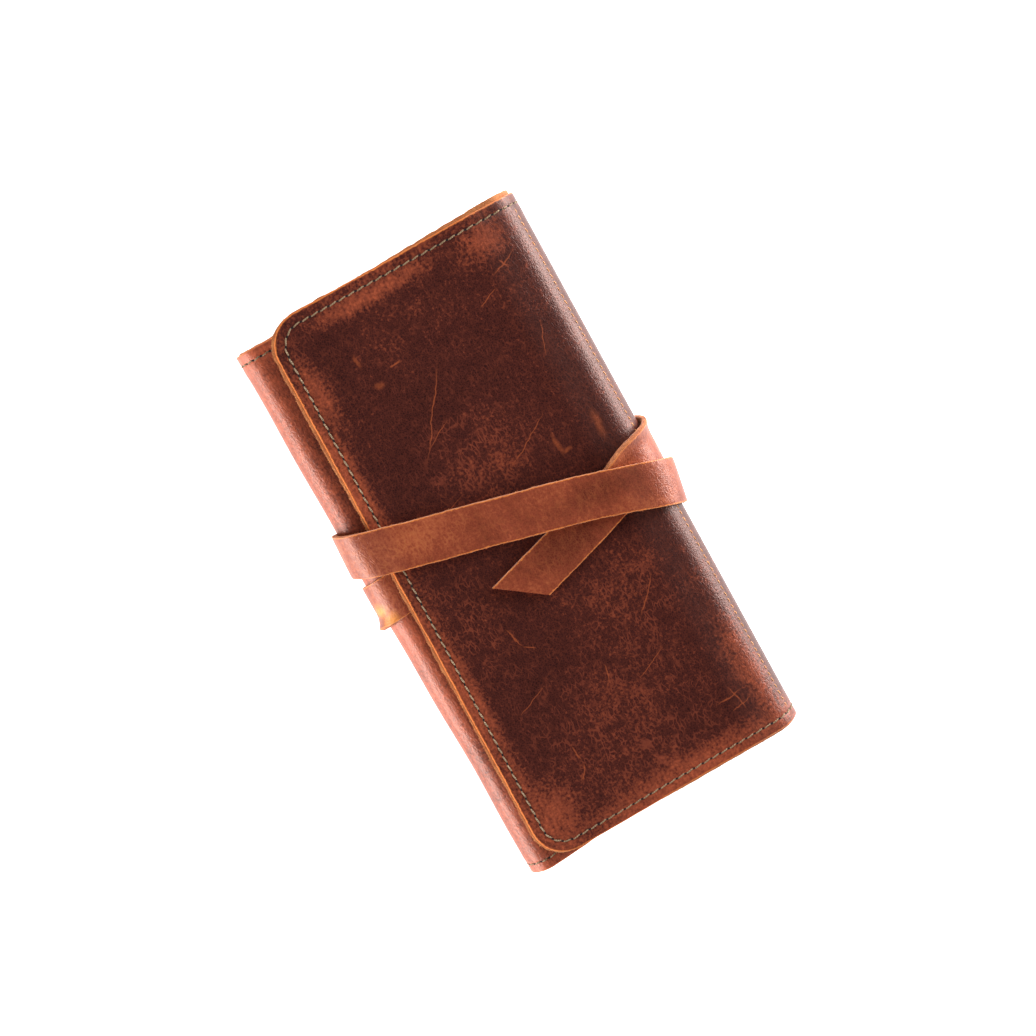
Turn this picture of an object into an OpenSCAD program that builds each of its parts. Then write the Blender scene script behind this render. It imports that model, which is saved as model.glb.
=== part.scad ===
// Leather brush roll case, folded shut and tied with its own strap.
// X runs across the case, Y along it, Z up. The origin is at the middle of the underside.
// The outer leather goes round in one piece: leaf, left spine, back, right spine, flap.

/* [Case] */
// Length of the leather along Y
case_l = 250; // [200:1:300]
// Width over the two rounded spines
case_w = 132; // [126:1:140]
// How far the flap sits towards +Y, and the leaf towards -Y, from square
skew = 2; // [0:0.5:3]
// Free edge of the flap at its +Y corner
flap_edge_top_x = -51; // [-52:0.5:-46]
// Free edge of the flap at its -Y corner
flap_edge_foot_x = -57; // [-57:0.5:-50]
// Radius of the flap's two free corners
flap_corner_r = 14.5; // [8:0.5:20]
// Free edge of the leaf, under the flap
leaf_edge_x = 0; // [-2:0.5:0]

/* [Leather] */
// Thickness of the outer leather
shell_t = 1.6; // [1.4:0.1:1.8]
// Thickness of the lining leather
lining_t = 1.2; // [1:0.1:1.4]
// Thickness of the pocket leather
pocket_t = 1.2; // [1:0.1:1.4]

/* [Brush slots] */
// Clear height of a slot
slot_h = 5.5; // [5:0.1:5.5]
// Number of slots in the back
back_slots = 5; // [4:1:6]
// Number of slots in the leaf
leaf_slots = 2; // [1:1:3]
// Length of the pockets
pocket_l = 144; // [100:1:160]
// Thickness of a sewn row between two slots
divider_w = 1.6; // [1.2:0.1:2]

/* [Strap] */
// Width of the strap
strap_w = 19.2; // [18.4:0.1:19.4]
// Thickness of the strap
strap_t = 2.2; // [2:0.1:2.2]
// Extra length of the tip's long edge, which makes its end slanted
tip_slant = 14; // [0:1:20]

/* [Thread] */
// Width of a row of thread
thread_w = 0.8; // [0.6:0.1:1]
// Depth of the groove that a row of thread lies in
thread_d = 0.5; // [0.3:0.1:0.6]
// Distance of the edge stitching from the leather's edge
stitch_margin = 4; // [3:0.5:5]

/* [Hidden] */

fit_gap = 0.1;
arc_step = 7.5;
beyond = 200;

// The stack of layers, from the outside of the back upwards.
case_z = strap_t + fit_gap;
slot_floor = shell_t + lining_t;
back_pocket_top = slot_floor + slot_h + pocket_t;
leaf_gap = 0.4;
leaf_slot_z = back_pocket_top + leaf_gap + pocket_t;
leaf_h = leaf_slot_z + slot_h + lining_t + shell_t;
root_room = 2.6;
case_h = leaf_h + root_room + pocket_t + lining_t + shell_t;

// The two spines are half circles in the XZ plane.
left_r = leaf_h / 2;
right_r = case_h / 2;
left_c = [left_r - case_w / 2, case_z + left_r];
right_c = [case_w / 2 - right_r, case_z + right_r];

// Ends of the leather along Y.
flap_end_y = case_l / 2 + skew;
flap_foot_y = skew - case_l / 2;
leaf_end_y = case_l / 2 - skew;
leaf_foot_y = -skew - case_l / 2;
layer_inset = 0.6;

// Brush pockets.
pocket_foot_y = leaf_foot_y + 9;
pocket_mouth_y = pocket_foot_y + pocket_l;
back_pocket_x = 50;
leaf_pocket_x = [-50, leaf_edge_x - 3];
slip_pocket_x = -38;
seam_angle = 42;
seam_half = 1.8;
slip_edge_angle = 30;

// The strap's centre line on each face, as points in plan.
strap_half = strap_w / 2;
root_line = [[-10, 12.9], [-80, 4.2]];
left_bend_first_y = 4.7;
under_first_line = [[-80, 6], [80, -11.8]];
right_bend_first_y = -10.4;
front_line = [[90, -13.5], [-90, 37.1]];
left_bend_second_y = 30.6;
under_second_line = [[-80, 31], [80, 8.5]];
right_bend_second_y = 10.6;
tail_line = [[80, 24.9], [44, 0.3], [-12.2, -16.3]];
tip_fold = [8.8, -10.1];
tip_fold_angle = 16.5;
over_tail = 2.7;
raised_from_x = 3;
ramp_l = 15;

// The first turn stands a little off the right spine, because it comes up over the tail there.
first_r = (case_h + 2 * fit_gap + over_tail) / 2;
first_c = [right_c[0], case_z - fit_gap + first_r];
// The hook where the front pass goes over the flap's free edge and down past the left spine.
hook_r = right_r + fit_gap;
hook_shift = 2.1;
hook_c = [left_c[0] + hook_shift, right_c[1]];
second_r = 11;
second_c = [left_c[0], case_z - fit_gap + second_r];

// Points along an arc in the XZ plane, from angle a0 to angle a1.
function arc(c, r, a0, a1) = let (n = ceil(abs(a1 - a0) / arc_step))
    [for (i = [0 : n]) let (a = a0 + (a1 - a0) * i / n) c + r * [cos(a), sin(a)]];
function flip(v) = [for (i = [len(v) - 1 : -1 : 0]) v[i]];
function layer(outside, inside) = concat(outside, flip(inside));

// The case's cross-section, in five stretches, at depth d inside the outer face.
function back_path(d) = concat(arc(left_c, left_r - d, 225, 270), arc(right_c, right_r - d, 270, 315));
function right_path(d) = arc(right_c, right_r - d, -45, 45);
function flap_path(d, x) = concat(arc(right_c, right_r - d, 45, 90), [[x, case_z + case_h - d]]);
function left_path(d) = arc(left_c, left_r - d, 135, 225);
function leaf_path(d, x) = concat([[x, case_z + leaf_h - d]], arc(left_c, left_r - d, 90, 135));

// Outlines in plan, drawn in by m from the leather's edge.
function flap_outline(m, right_x = 80) = concat(
    [[right_x, flap_foot_y + m], [right_x, flap_end_y - m]],
    arc([flap_edge_top_x + flap_corner_r, flap_end_y - flap_corner_r], flap_corner_r - m, 90, 180),
    arc([flap_edge_foot_x + flap_corner_r, flap_foot_y + flap_corner_r], flap_corner_r - m, 180, 270));
function leaf_outline(m, left_x = -80) = [[left_x, leaf_foot_y + m], [leaf_edge_x - m, leaf_foot_y + m],
    [leaf_edge_x - m, leaf_end_y - m], [left_x, leaf_end_y - m]];
function back_outline(m, x = 80) = [[-x, leaf_foot_y + m], [left_c[0], leaf_foot_y + m],
    [right_c[0], flap_foot_y + m], [x, flap_foot_y + m], [x, flap_end_y - m],
    [right_c[0], flap_end_y - m], [left_c[0], leaf_end_y - m], [-x, leaf_end_y - m]];

// A strip of the strap's width along a line in plan, with the far end slanted.
function unit(v) = v / norm(v);
function side(v) = [-v[1], v[0]];
function along(p, i) = unit(p[min(i + 1, len(p) - 1)] - p[min(i, len(p) - 2)]);
function corner(p, i) = let (a = side(along(p, max(i - 1, 0))), b = side(along(p, i)))
    unit(a + b) * strap_half / sqrt((1 + a * b) / 2);
function strip(p, slant = 0) = let (n = len(p) - 1, cut = along(p, n) * slant / 2) concat(
    [for (i = [0 : n]) p[i] + corner(p, i) + (i == n ? -cut : [0, 0])],
    [for (i = [n : -1 : 0]) p[i] - corner(p, i) + (i == n ? cut : [0, 0])]);
function level_line(y) = [[-90, y], [90, y]];

// Extrudes an outline drawn in the XZ plane along Y.
module along_y(points, y0 = -beyond, y1 = beyond) {
    translate([0, y1, 0])
        rotate([90, 0, 0])
            linear_extrude(height = y1 - y0)
                polygon(points);
}

// Keeps what lies inside an outline in plan.
module within(outline) {
    intersection() {
        children();
        linear_extrude(height = beyond)
            polygon(outline);
    }
}

// What lies between an outline in plan and a smaller one.
module between(outline, inner) {
    linear_extrude(height = beyond)
        difference() {
            polygon(outline);
            polygon(inner);
        }
}

// The stretches of the case's cross-section that each part of the strap lies on.
function ray(c, a) = c + beyond * [cos(a), sin(a)];
back_region = [left_c, ray(left_c, 225), ray(right_c, -45), right_c];
right_region = [right_c, ray(right_c, -45), ray(right_c, 45)];
flap_region = [right_c, ray(right_c, 45), [-beyond, beyond], [-beyond, right_c[1]]];
left_region = [left_c, ray(left_c, 135), ray(left_c, 225)];

module strap_piece(profile, region, footprint) {
    color("peru")
        intersection() {
            within(footprint)
                along_y(profile);
            along_y(region);
        }
}

// Rows of thread. proud > 0 makes the cutter for the groove that the row lies in.
module back_edge_rows(proud = 0) {
    intersection() {
        along_y(layer(back_path(-proud), back_path(thread_d)));
        between(back_outline(stitch_margin), back_outline(stitch_margin + thread_w, 81));
    }
}

module spine_rows(path_out, path_in, end_y, foot_y) {
    for (y = [end_y - stitch_margin - thread_w, foot_y + stitch_margin])
        along_y(layer(path_out, path_in), y, y + thread_w);
}

module right_edge_rows(proud = 0) {
    spine_rows(right_path(-proud), right_path(thread_d), flap_end_y, flap_foot_y);
}

module left_edge_rows(proud = 0) {
    spine_rows(left_path(-proud), left_path(thread_d), leaf_end_y, leaf_foot_y);
}

module seam_row(proud = 0) {
    a0 = seam_angle - seam_half;
    a1 = seam_angle + seam_half;
    seam_inset = stitch_margin + 2;
    along_y(layer(arc(right_c, right_r + proud, a0, a1), arc(right_c, right_r - thread_d, a0, a1)),
        flap_foot_y + seam_inset, flap_end_y - seam_inset);
}

module flap_edge_rows(proud = 0) {
    intersection() {
        along_y(layer(flap_path(-proud, -80), flap_path(thread_d, -80)));
        between(flap_outline(stitch_margin), flap_outline(stitch_margin + thread_w, 81));
    }
}

module leaf_edge_rows(proud = 0) {
    intersection() {
        along_y(layer(leaf_path(-proud, 10), leaf_path(thread_d, 10)));
        between(leaf_outline(stitch_margin), leaf_outline(stitch_margin + thread_w, -81));
    }
}

// Middle of each wall of a pocket with n slots between x0 and x1.
function wall_x(x0, x1, n) = [for (i = [0 : n]) x0 + divider_w / 2 + (x1 - x0 - divider_w) * i / n];

module pocket_rows(xs, z, h) {
    for (x = xs)
        translate([x - thread_w / 2, pocket_foot_y + 2, z])
            cube([thread_w, pocket_l - 4, h]);
}

module back_pocket_rows(proud = 0) {
    pocket_rows(wall_x(-back_pocket_x, back_pocket_x, back_slots), case_z - proud, thread_d + proud);
}

// The leaf's edge stitching holds its pocket's last wall, so that wall has no row of its own.
module leaf_pocket_rows(proud = 0) {
    walls = wall_x(leaf_pocket_x[0], leaf_pocket_x[1], leaf_slots);
    pocket_rows([for (i = [0 : leaf_slots - 1]) walls[i]], case_z + leaf_h - thread_d, thread_d + proud);
}

// A pocket: walls between slots that are blind at the -Y end, and a cover over them.
module pocket(x0, x1, z, n) {
    walls = wall_x(x0, x1, n);
    difference() {
        translate([x0, pocket_foot_y, z])
            cube([x1 - x0, pocket_l, slot_h + pocket_t]);
        for (i = [0 : n - 1])
            translate([walls[i] + divider_w / 2, pocket_foot_y + divider_w, z])
                cube([walls[i + 1] - walls[i] - divider_w, pocket_l, slot_h]);
    }
}

module back_shell() {
    color("saddlebrown")
        difference() {
            within(back_outline(0))
                along_y(layer(back_path(0), back_path(shell_t)));
            back_edge_rows(1);
            back_pocket_rows(1);
        }
}

module back_lining() {
    color("sandybrown")
        within(back_outline(layer_inset))
            along_y(layer(back_path(shell_t), back_path(slot_floor)));
}

module back_brush_pocket() {
    color("sienna")
        pocket(-back_pocket_x, back_pocket_x, case_z + slot_floor, back_slots);
}

module back_pocket_stitching() {
    color("tan")
        back_pocket_rows();
}

module back_edge_stitching() {
    color("tan")
        back_edge_rows();
}

module right_spine_shell() {
    color("saddlebrown")
        difference() {
            along_y(layer(right_path(0), right_path(shell_t)), flap_foot_y, flap_end_y);
            right_edge_rows(1);
            seam_row(1);
        }
}

module right_spine_lining() {
    color("sandybrown")
        along_y(layer(right_path(shell_t), right_path(slot_floor)),
            flap_foot_y + layer_inset, flap_end_y - layer_inset);
}

// The slip pocket's edge, which the spine seam holds.
module right_spine_pocket_edge() {
    color("sienna")
        along_y(layer(arc(right_c, right_r - slot_floor, slip_edge_angle, 45),
            arc(right_c, right_r - slot_floor - pocket_t, slip_edge_angle, 45)),
            flap_foot_y + layer_inset, flap_end_y - layer_inset);
}

module spine_seam_stitching() {
    color("chocolate")
        seam_row();
}

module right_spine_edge_stitching() {
    color("tan")
        right_edge_rows();
}

module flap_shell() {
    color("saddlebrown")
        difference() {
            within(flap_outline(0))
                along_y(layer(flap_path(0, -80), flap_path(shell_t, -80)));
            flap_edge_rows(1);
        }
}

module flap_lining() {
    color("sandybrown")
        within(flap_outline(layer_inset))
            along_y(layer(flap_path(shell_t, -80), flap_path(slot_floor, -80)));
}

module flap_slip_pocket() {
    depth = slot_floor + pocket_t;
    color("sienna")
        along_y(layer(flap_path(slot_floor, slip_pocket_x), flap_path(depth, slip_pocket_x)),
            flap_foot_y + layer_inset, flap_end_y - layer_inset);
}

module flap_edge_stitching() {
    color("tan")
        flap_edge_rows();
}

module left_spine_shell() {
    color("saddlebrown")
        difference() {
            along_y(layer(left_path(0), left_path(shell_t)), leaf_foot_y, leaf_end_y);
            left_edge_rows(1);
        }
}

module left_spine_lining() {
    color("sandybrown")
        along_y(layer(left_path(shell_t), left_path(slot_floor)),
            leaf_foot_y + layer_inset, leaf_end_y - layer_inset);
}

module left_spine_edge_stitching() {
    color("tan")
        left_edge_rows();
}

module leaf_shell() {
    color("saddlebrown")
        difference() {
            along_y(layer(leaf_path(0, leaf_edge_x), leaf_path(shell_t, leaf_edge_x)), leaf_foot_y, leaf_end_y);
            leaf_edge_rows(1);
            leaf_pocket_rows(1);
        }
}

module leaf_lining() {
    x = leaf_edge_x - layer_inset;
    color("sandybrown")
        along_y(layer(leaf_path(shell_t, x), leaf_path(slot_floor, x)),
            leaf_foot_y + layer_inset, leaf_end_y - layer_inset);
}

// The leaf's pocket hangs under its lining, so it is the back's turned over.
module leaf_brush_pocket() {
    roof_z = case_z + leaf_h - slot_floor;
    color("sienna")
        translate([0, 0, roof_z])
            mirror([0, 0, 1])
                pocket(leaf_pocket_x[0], leaf_pocket_x[1], 0, leaf_slots);
}

module leaf_edge_stitching() {
    color("tan")
        leaf_edge_rows();
}

module leaf_pocket_stitching() {
    color("tan")
        leaf_pocket_rows();
}

// The box of thread that holds the strap's root to the leaf.
module anchor_box(proud = 0) {
    size = [14, strap_w - 6];
    top = case_z + leaf_h + fit_gap + strap_t;
    run = root_line[1] - root_line[0];
    translate([root_line[0][0], root_line[0][1], top - thread_d])
        rotate([0, 0, atan2(run[1], run[0])])
            translate([3, -size[1] / 2, 0])
                difference() {
                    cube([size[0], size[1], thread_d + proud]);
                    translate([thread_w, thread_w, -1])
                        cube([size[0] - 2 * thread_w, size[1] - 2 * thread_w, thread_d + proud + 2]);
                }
}

module strap_root() {
    out = fit_gap + strap_t;
    color("peru")
        difference() {
            within(strip(root_line))
                along_y(layer(leaf_path(-out, 20), leaf_path(-fit_gap, 20)));
            anchor_box(1);
        }
}

module strap_anchor_stitching() {
    color("tan")
        anchor_box();
}

module strap_first_turn_left_bend() {
    strap_piece(layer(left_path(-fit_gap - strap_t), left_path(-fit_gap)), left_region,
        strip(level_line(left_bend_first_y)));
}

function first_under_path(e) = concat(arc(left_c, left_r + fit_gap + e, 225, 270),
    arc(first_c, first_r + e, -90, 0));

module strap_first_turn_under() {
    strap_piece(layer(first_under_path(strap_t), first_under_path(0)), back_region,
        strip(under_first_line));
}

module strap_first_turn_right_bend() {
    strap_piece(layer(arc(first_c, first_r + strap_t, -75, 75), arc(first_c, first_r, -75, 75)),
        right_region, strip(level_line(right_bend_first_y)));
}

// The front pass lies on the flap, and steps up to cross over the tail.
function front_path(e) = concat(arc(first_c, first_r + e, 0, 90),
    [[raised_from_x, case_z + case_h + fit_gap + over_tail + e],
        [raised_from_x - ramp_l, case_z + case_h + fit_gap + e]],
    arc(hook_c, hook_r + e, 90, 180));

module strap_front_pass() {
    strap_piece(layer(front_path(strap_t), front_path(0)), flap_region, strip(front_line));
}

function second_bend_path(e) = concat([[hook_c[0] - hook_r - e, right_c[1]]],
    arc(second_c, second_r + e, 180, 270));

module strap_second_turn_left_bend() {
    strap_piece(layer(second_bend_path(strap_t), second_bend_path(0)), left_region,
        strip(level_line(left_bend_second_y)));
}

function second_under_path(e) = concat(arc(second_c, second_r + e, 200, 270),
    arc(right_c, right_r + fit_gap + e, 270, 315));

module strap_second_turn_under() {
    strap_piece(layer(second_under_path(strap_t), second_under_path(0)), back_region,
        strip(under_second_line));
}

module strap_second_turn_right_bend() {
    strap_piece(layer(right_path(-fit_gap - strap_t), right_path(-fit_gap)), right_region,
        strip(level_line(right_bend_second_y)));
}

// Everything on the free side of the line that the tail's tip folds up along.
module tip_side() {
    translate([tip_fold[0], tip_fold[1], 0])
        rotate([0, 0, tip_fold_angle])
            translate([-beyond, -beyond / 2, 0])
                cube([beyond, beyond, beyond]);
}

module whole_tail() {
    strap_piece(layer(flap_path(-fit_gap - strap_t, -60), flap_path(-fit_gap, -60)), flap_region,
        strip(tail_line, tip_slant));
}

module strap_tail() {
    color("peru")
        difference() {
            whole_tail();
            tip_side();
        }
}

module strap_tail_tip() {
    color("peru")
        intersection() {
            whole_tail();
            tip_side();
        }
}

back_shell();
back_lining();
back_brush_pocket();
back_pocket_stitching();
back_edge_stitching();
right_spine_shell();
right_spine_lining();
right_spine_pocket_edge();
spine_seam_stitching();
right_spine_edge_stitching();
flap_shell();
flap_lining();
flap_slip_pocket();
flap_edge_stitching();
left_spine_shell();
left_spine_lining();
left_spine_edge_stitching();
leaf_shell();
leaf_lining();
leaf_brush_pocket();
leaf_edge_stitching();
leaf_pocket_stitching();
strap_root();
strap_anchor_stitching();
strap_first_turn_left_bend();
strap_first_turn_under();
strap_first_turn_right_bend();
strap_front_pass();
strap_second_turn_left_bend();
strap_second_turn_under();
strap_second_turn_right_bend();
strap_tail();
strap_tail_tip();
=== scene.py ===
"""Leather brush roll case: its visible leather, thread and strap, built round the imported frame."""
import math
import random

import bmesh
import bpy
import numpy as np
from mathutils import Matrix, Vector, geometry


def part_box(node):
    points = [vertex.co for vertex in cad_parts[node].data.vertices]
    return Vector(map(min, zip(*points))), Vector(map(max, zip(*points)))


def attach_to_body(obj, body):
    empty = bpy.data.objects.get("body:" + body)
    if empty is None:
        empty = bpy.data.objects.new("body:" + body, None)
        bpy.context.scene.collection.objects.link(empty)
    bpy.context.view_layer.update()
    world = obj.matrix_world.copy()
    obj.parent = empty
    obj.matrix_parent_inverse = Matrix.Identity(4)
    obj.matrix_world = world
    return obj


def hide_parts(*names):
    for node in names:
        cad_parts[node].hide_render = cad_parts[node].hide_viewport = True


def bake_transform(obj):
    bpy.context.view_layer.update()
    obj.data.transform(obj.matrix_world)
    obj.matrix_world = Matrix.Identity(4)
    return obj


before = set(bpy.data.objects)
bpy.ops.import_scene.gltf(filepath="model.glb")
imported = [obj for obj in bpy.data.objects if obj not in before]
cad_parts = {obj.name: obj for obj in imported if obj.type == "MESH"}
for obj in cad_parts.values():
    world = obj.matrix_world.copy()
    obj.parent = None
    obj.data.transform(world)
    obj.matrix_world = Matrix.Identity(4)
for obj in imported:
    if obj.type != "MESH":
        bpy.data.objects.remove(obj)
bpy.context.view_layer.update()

# Lengths are in millimetres, and MM turns them into Blender's metres.
MM = 0.001


def box_mm(node):
    low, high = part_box(node)
    return np.array(low) / MM, np.array(high) / MM


FLAP_LOW, FLAP_HIGH = box_mm("flap_shell")
LEAF_LOW, LEAF_HIGH = box_mm("leaf_shell")
CASE_Z = box_mm("back_shell")[0][2]
LEAF_TOP = LEAF_HIGH[2]
FLAP_TOP = FLAP_HIGH[2]

# The two spines are half circles in the XZ plane.
LEFT_R = (LEAF_TOP - CASE_Z) / 2
RIGHT_R = (FLAP_TOP - CASE_Z) / 2
LEFT_X = box_mm("left_spine_shell")[0][0] + LEFT_R
RIGHT_X = box_mm("right_spine_shell")[1][0] - RIGHT_R
LEFT_Z = CASE_Z + LEFT_R
RIGHT_Z = CASE_Z + RIGHT_R

SHELL_T = 1.6
LINING_T = 1.2
POCKET_T = 1.2
DEPTH = SHELL_T + LINING_T
SLOT_H = 5.5
CORNER_R = 14.5
# Free edge of the flap at its two corners.
EDGE_FOOT_X = FLAP_LOW[0]
EDGE_TOP_X = EDGE_FOOT_X + 6

STITCH_IN = 4.4
STITCH = 4.2
SEAM_STITCH = 3.0
SEAM_ANGLE = 43

FIT = 0.1
STRAP_T = 2.2
STRAP_HALF = 9.6
OVER_TAIL = 2.7
FIRST_R = (FLAP_TOP - CASE_Z + 2 * FIT + OVER_TAIL) / 2
HOOK_X = LEFT_X + 2.1
SECOND_R = 11.0


def smooth(t):
    t = np.clip(t, 0, 1)
    return t * t * (3 - 2 * t)


def hump(s, middle, reach):
    """1 at middle, easing to 0 at a distance of reach."""
    return smooth(1 - np.abs(s - middle) / reach)


def ragged(s, seed, size=1.0):
    """A rough line: slow waves with small steps on them, within about 1 of zero."""
    total = np.zeros_like(np.asarray(s, float))
    for k, (step, share) in enumerate(((9.0, 0.35), (2.6, 0.35), (0.9, 0.3))):
        knots = np.random.default_rng(seed + 100 * k).uniform(-1, 1, 900)
        total = total + share * np.interp(np.asarray(s) / step + 60, np.arange(900), knots)
    return total * size


class Track:
    """A course in the XZ plane that goes round the case, with the outside on its right."""

    def __init__(self, x, z):
        self.points = [(x, z)]
        self.ends = [0]

    def add(self, points):
        self.points += points
        self.ends.append(len(self.points) - 1)
        self.measure()
        return self

    def line(self, x, z):
        return self.add([(x, z)])

    def arc(self, x, z, turn):
        start = Vector(self.points[-1]) - Vector((x, z))
        first = math.atan2(start.y, start.x)
        steps = math.ceil(turn / 1.5)
        angles = [first + math.radians(turn) * (i + 1) / steps for i in range(steps)]
        return self.add([(x + start.length * math.cos(a), z + start.length * math.sin(a)) for a in angles])

    def ease(self, x, z, steps=24):
        x0, z0 = self.points[-1]
        parts = [(i + 1) / steps for i in range(steps)]
        return self.add([(x0 + (x - x0) * t, z0 + (z - z0) * float(smooth(t))) for t in parts])

    def measure(self):
        p = np.array(self.points)
        step = np.diff(p, axis=0)
        length = np.hypot(step[:, 0], step[:, 1])
        unit = step / length[:, None]
        way = np.vstack([unit[:1], unit[:-1] + unit[1:], unit[-1:]])
        way /= np.linalg.norm(way, axis=1)[:, None]
        self.s = np.concatenate([[0], np.cumsum(length)])
        self.marks = self.s[self.ends]
        self.columns = (p[:, 0], p[:, 1], way[:, 1], -way[:, 0])

    def place(self, s, y, h):
        """Points at distance s along the course, y along the case and height h outside it."""
        x, z, nx, nz = (np.interp(s, self.s, c) for c in self.columns)
        return np.stack(np.broadcast_arrays(x + nx * h, y, z + nz * h), -1)


# The outer face of the leather, from the leaf's free edge round to the flap.
case = Track(LEAF_HIGH[0], LEAF_TOP)
case.line(LEFT_X, LEAF_TOP).arc(LEFT_X, LEFT_Z, 180)
case.line(RIGHT_X, CASE_Z).arc(RIGHT_X, RIGHT_Z, 180).line(EDGE_FOOT_X - 5, FLAP_TOP)
S_LEFT, S_BACK, S_RIGHT, S_FLAP = case.marks[1:5]
S_LEFT_MID = (S_LEFT + S_BACK) / 2
S_RIGHT_MID = (S_RIGHT + S_FLAP) / 2


def end_y(s):
    return np.interp(s, [S_BACK, S_RIGHT], [LEAF_HIGH[1], FLAP_HIGH[1]])


def foot_y(s):
    return np.interp(s, [0, S_LEFT, S_BACK, S_RIGHT], [FLAP_LOW[1] + 0.4, LEAF_LOW[1], LEAF_LOW[1], FLAP_LOW[1]])


def flap_s(x):
    return S_FLAP + RIGHT_X - x


def lift(x, y):
    """How far the flap and what lies on it wave up and down."""
    wave = 0.22 * np.sin(x / 17 + y / 31 + 1) + 0.18 * np.sin(y / 23 - x / 40) + 0.1 * np.sin(x / 8 - y / 13)
    return wave * smooth((RIGHT_X - x) / 16)


def wave_left(s, y):
    """How far the left spine bellies in and out."""
    wave = 0.2 * np.sin(y / 9.5) + 0.3 * np.sin(y / 27 + 1)
    return wave * hump(s, S_LEFT_MID, S_BACK - S_LEFT_MID)


# The strap goes round the case twice.
first_turn = Track(LEAF_HIGH[0] - 10, LEAF_TOP + FIT)
first_turn.line(LEFT_X, LEAF_TOP + FIT).arc(LEFT_X, LEFT_Z, 180).line(RIGHT_X, STRAP_T)
first_turn.arc(RIGHT_X, STRAP_T + FIRST_R, 180).line(3, FLAP_TOP + FIT + OVER_TAIL)
first_turn.ease(-12, FLAP_TOP + FIT).line(HOOK_X, FLAP_TOP + FIT).arc(HOOK_X, RIGHT_Z, 90)

second_turn = Track(LEFT_X - SECOND_R, RIGHT_Z)
second_turn.line(LEFT_X - SECOND_R, STRAP_T + SECOND_R).arc(LEFT_X, STRAP_T + SECOND_R, 90)
second_turn.line(RIGHT_X, STRAP_T).arc(RIGHT_X, RIGHT_Z, 180).line(-40, FLAP_TOP + FIT)

A = first_turn.marks
B = second_turn.marks
A_LEFT = (A[1] + A[2]) / 2
A_RIGHT = (A[3] + A[4]) / 2
B_RIGHT = (B[3] + B[4]) / 2
TIP = B[4] + RIGHT_X + 11.7
FOLD = B[4] + RIGHT_X - 8.8


# Meshes

def new_object(name, points, faces, materials, face_slots=None, flat=None, edge=None, crisp=50):
    mesh = bpy.data.meshes.new(name)
    mesh.from_pydata((np.asarray(points) * MM).tolist(), [], faces)
    for material in materials:
        mesh.materials.append(material)
    if face_slots is not None:
        mesh.polygons.foreach_set("material_index", np.asarray(face_slots, np.int32))
    if flat is not None:
        layer = mesh.attributes.new("flat", "FLOAT_VECTOR", "POINT")
        layer.data.foreach_set("vector", (np.asarray(flat, float) * MM).astype(np.float32).ravel())
    if edge is not None:
        layer = mesh.attributes.new("edge", "FLOAT", "POINT")
        layer.data.foreach_set("value", (np.asarray(edge, float) * MM).astype(np.float32).ravel())
    outside = bmesh.new()
    outside.from_mesh(mesh)
    bmesh.ops.recalc_face_normals(outside, faces=outside.faces)
    outside.to_mesh(mesh)
    outside.free()
    mesh.shade_smooth()
    mesh.set_sharp_from_angle(angle=math.radians(crisp))
    obj = bpy.data.objects.new(name, mesh)
    bpy.context.scene.collection.objects.link(obj)
    return obj


FOLDS = {
    "left_upper": ("leaf", "left_spine", (LEFT_X, 0, LEAF_TOP), (LEFT_X - LEFT_R, 0, LEFT_Z)),
    "left_lower": ("left_spine", "back", (LEFT_X - LEFT_R, 0, LEFT_Z), (LEFT_X, 0, CASE_Z)),
    "right_lower": ("back", "right_spine", (RIGHT_X, 0, CASE_Z), (RIGHT_X + RIGHT_R, 0, RIGHT_Z)),
    "right_upper": ("right_spine", "flap", (RIGHT_X + RIGHT_R, 0, RIGHT_Z), (RIGHT_X, 0, FLAP_TOP)),
    "tip": ("flap", "tail_tip", (12.6, -9.0, FLAP_TOP), (3.0, -11.8, FLAP_TOP)),
}


def attach(obj, where, slot, *nodes):
    """The piece rides on a body, or at a fold keeps its place with its transform baked into its mesh, and stands for
    its CAD nodes.
    """
    if where in FOLDS:
        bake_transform(obj)
    else:
        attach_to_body(obj, where)
    if nodes:
        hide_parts(*nodes)
    return obj


def close(n, m, raw):
    """Faces of a closed slab with two grids of n by m points, and which of its sides are raw edges."""
    index = np.arange(2 * n * m).reshape(2, n, m)
    faces, slots = [], []
    for layer in (0, 1):
        g = index[layer]
        quads = np.stack([g[:-1, :-1], g[1:, :-1], g[1:, 1:], g[:-1, 1:]], -1).reshape(-1, 4)
        faces += quads.tolist()
        slots += [layer] * len(quads)
    sides = {"start": index[:, 0, :], "stop": index[:, -1, :], "foot": index[:, :, 0], "end": index[:, :, -1]}
    for side, rim in sides.items():
        quads = np.stack([rim[0, :-1], rim[0, 1:], rim[1, 1:], rim[1, :-1]], -1)
        faces += quads.tolist()
        slots += [2 if side in raw else 0] * len(quads)
    return faces, slots


def edge_drop(distance):
    """How far the face of the leather drops at a cut edge and into the groove of the stitching."""
    cut = 0.3 * np.clip(1 - distance / 0.3, 0, 1) ** 2
    groove = 0.24 * np.exp(-((distance - STITCH_IN) / 0.75) ** 2)
    swell = 0.1 * np.exp(-((distance - STITCH_IN - 3.2) / 1.8) ** 2)
    return cut + groove - swell


NEAR_EDGE = np.array([0, 0.3, 1, 2, 3, 3.7, 4.1, 4.4, 4.7, 5.1, 5.8, 7, 8.5])


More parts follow.
